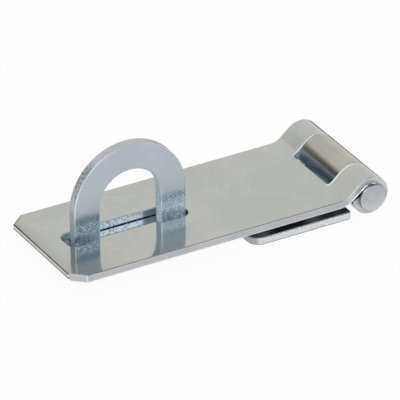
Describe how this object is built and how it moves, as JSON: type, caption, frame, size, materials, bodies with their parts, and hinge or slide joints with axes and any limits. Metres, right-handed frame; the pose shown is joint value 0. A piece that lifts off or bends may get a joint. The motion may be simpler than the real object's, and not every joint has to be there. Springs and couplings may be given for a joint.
{
  "type": "safety hasp",
  "caption": "Plated steel safety hasp: a slotted strap on a rolled hinge shuts over an upright staple loop for a padlock and covers its fixing screws.",
  "frame": {"origin": "on the mounting surface, under the middle of the shut hasp's bounding box", "axes": "+X from the strap's free end to the hinge, +Y along the hinge pin, +Z away from the mounting surface"},
  "size_m": [0.1152, 0.049, 0.037],
  "materials": {
    "strap_steel": "bright zinc plate, softly reflecting",
    "leaf_steel": "bright zinc plate",
    "pin_steel": "bright zinc plate, upset heads",
    "plate_steel": "bright zinc plate",
    "loop_steel": "bluish bright zinc plate, rough at the welded feet"
  },
  "bodies": {
    "base": {"hinge_leaf": "leaf_steel", "hinge_pin": "pin_steel", "staple_plate": "plate_steel", "staple_loop": "loop_steel"},
    "strap": {"hasp_strap": "strap_steel"}
  },
  "joints": [
    {"name": "strap_hinge", "type": "hinge", "parent": "base", "child": "strap", "pos_m": [0.05109, 0, 0.00655], "axis": [0, 1, 0], "range_deg": [0, 180]}
  ]
}
